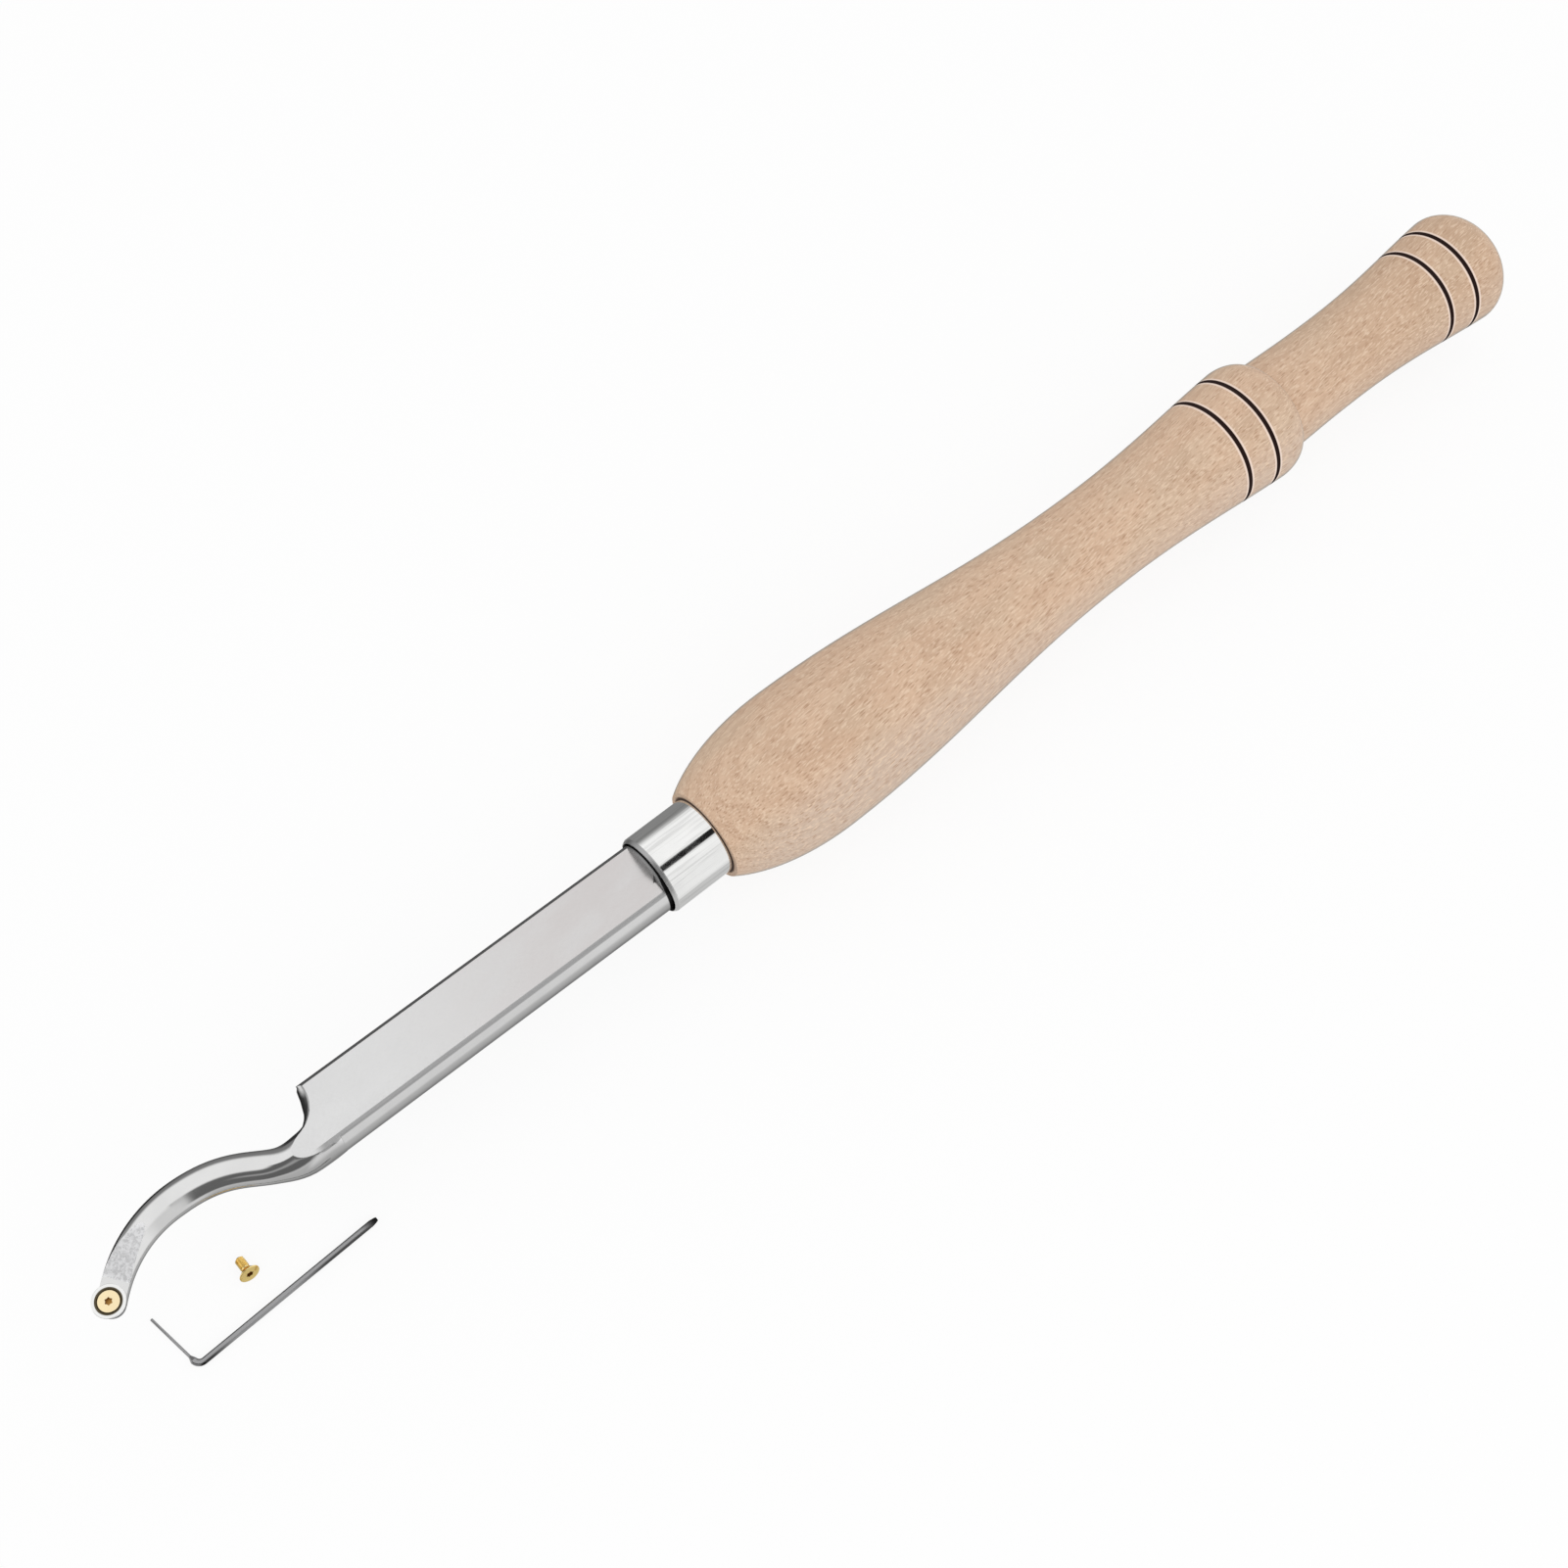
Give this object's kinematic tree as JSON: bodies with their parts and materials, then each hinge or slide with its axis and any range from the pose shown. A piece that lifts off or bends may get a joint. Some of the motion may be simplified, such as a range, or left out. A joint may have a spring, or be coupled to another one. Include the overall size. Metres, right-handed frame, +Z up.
{
  "type": "carbide turning tool",
  "caption": "Hollowing tool for wood turning: turned wooden handle, ferrule, flatted steel bar with a swan neck, round carbide insert, with a spare screw and L-shaped key.",
  "frame": {"origin": "on the surface that the set lies on, under the middle of the whole set's box", "axes": "+X along the handle from the insert towards the butt, +Z up, square to the bar's flats"},
  "size_m": [0.3906, 0.0366, 0.0342],
  "materials": {
    "beech": "pale steamed beech, sanded and lacquered to a low sheen, with burnt grooves",
    "polished_steel": "mirror polished",
    "ground_steel": "fine ground flats, polished round sides and neck",
    "carbide": "fine lapped grey carbide",
    "gilt_screw": "bright gold-coloured coating",
    "key_steel": "dark oxide, satin"
  },
  "bodies": {
    "tool": {"handle": "beech", "ferrule": "polished_steel", "shaft": "ground_steel"},
    "insert": {"carbide_insert": "carbide"},
    "screw": {"insert_screw": "gilt_screw"},
    "spare": {"spare_screw": "gilt_screw"},
    "key": {"torx_key": "key_steel"}
  },
  "joints": [
    {"name": "insert_index", "type": "hinge", "parent": "tool", "child": "insert", "pos_m": [-0.192, -0.002, 0.0184], "axis": [0, 0, 1], "continuous": true},
    {"name": "screw_out", "type": "slide", "parent": "tool", "child": "screw", "axis": [0, 0, 1], "range_m": [0, 0.008]},
    {"name": "spare_lift", "type": "slide", "parent": "tool", "child": "spare", "axis": [0, 0, 1], "range_m": [0, 0.06]},
    {"name": "key_lift", "type": "slide", "parent": "tool", "child": "key", "axis": [0, 0, 1], "range_m": [0, 0.06]}
  ]
}
